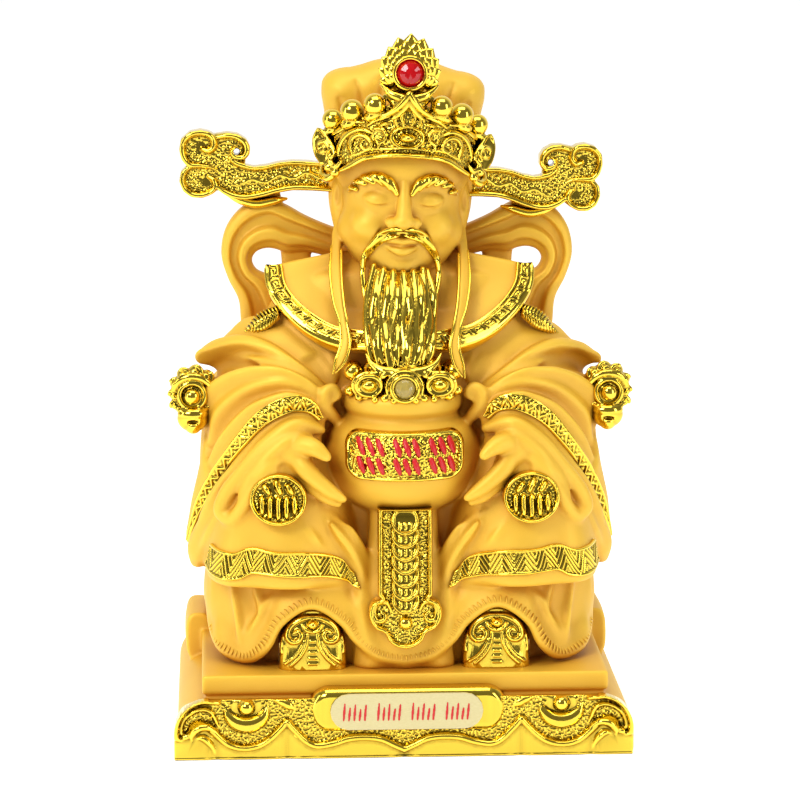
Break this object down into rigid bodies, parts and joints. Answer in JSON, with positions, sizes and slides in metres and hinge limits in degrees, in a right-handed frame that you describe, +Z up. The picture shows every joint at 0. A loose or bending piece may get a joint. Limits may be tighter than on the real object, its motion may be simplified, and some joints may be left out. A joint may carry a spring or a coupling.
{
  "type": "god of wealth figure",
  "caption": "Seated bearded god of wealth on a low throne and footed base, holding a round bowl of treasure on the lap; stands by its own weight as an ornament.",
  "frame": {"origin": "centre of the bounding box at the underside of the base", "axes": "+Z up, the figure faces -Y, +X to the viewer's right"},
  "size_m": [0.1773, 0.1244, 0.2699],
  "materials": {
    "sand_gold": "cast resin under matte sand gold paint",
    "gilt": "polished gold plating over the cast relief",
    "red_glass": "red glass cabochon, foiled at the back",
    "clear_crystal": "clear faceted crystal",
    "label_foil": "pale champagne label with a satin face",
    "red_paint": "red enamel paint on the raised strokes of the bowl panel and the label"
  },
  "bodies": {
    "root": {"figure": "sand_gold", "crown_gem": "red_glass", "bowl_crystal": "clear_crystal", "base_label": "label_foil"}
  },
  "joints": []
}
